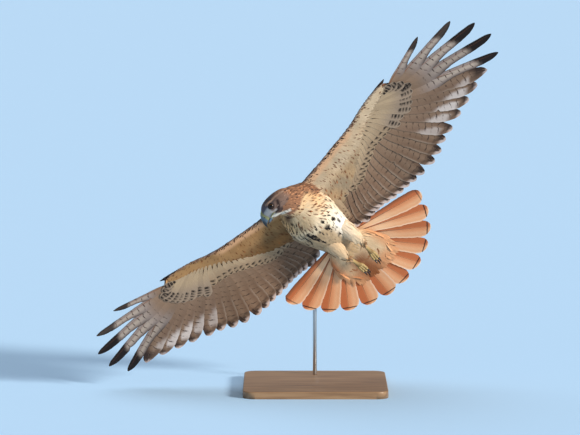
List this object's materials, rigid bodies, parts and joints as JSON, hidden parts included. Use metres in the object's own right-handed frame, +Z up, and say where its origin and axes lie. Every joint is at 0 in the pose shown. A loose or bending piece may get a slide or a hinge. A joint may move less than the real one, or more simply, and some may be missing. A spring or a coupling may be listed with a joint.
{
  "type": "red-tailed hawk",
  "caption": "Life-size red-tailed hawk in banking flight, wings and tail spread, feet tucked, held by two rods on a flat base.",
  "frame": {"origin": "middle of the underside of the stand's flat base", "axes": "+Z up, +X to the right of someone who faces the bird's underside, +Y from the bird towards the stand's upright rod"},
  "size_m": [0.9903, 0.4272, 0.9344],
  "materials": {
    "body_plumage": "soft matte feather, cream with brown streaks",
    "head_plumage": "soft matte feather, dark brown with rufous edges",
    "wing_plumage": "satin feather vanes, buff and grey-brown with dark bars",
    "tail_plumage": "satin feather vanes, brick orange with a thin dark band",
    "bill": "smooth horn, blue-grey with a black tip and a yellow-green cere",
    "eye": "wet, clear over dark brown",
    "foot_skin": "scaly skin, dull yellow",
    "claw": "smooth black horn",
    "stand_wood": "pale lacquered wood, satin",
    "stand_metal": "brushed steel"
  },
  "bodies": {
    "root": {"torso": "body_plumage", "neck": "head_plumage", "head": "head_plumage", "bill_upper": "bill", "bill_lower": "bill", "eye_left": "eye", "eye_right": "eye", "wing_left": "wing_plumage", "hand_left": "wing_plumage", "wing_right": "wing_plumage", "hand_right": "wing_plumage", "tail": "tail_plumage", "leg_left": "body_plumage", "leg_right": "body_plumage", "foot_left": "foot_skin", "foot_right": "foot_skin", "claw_left_1": "claw", "claw_left_2": "claw", "claw_left_3": "claw", "claw_left_4": "claw", "claw_right_1": "claw", "claw_right_2": "claw", "claw_right_3": "claw", "claw_right_4": "claw", "stand_base": "stand_wood", "stand_post": "stand_metal", "stand_elbow": "stand_metal", "stand_arm": "stand_metal"}
  },
  "joints": []
}
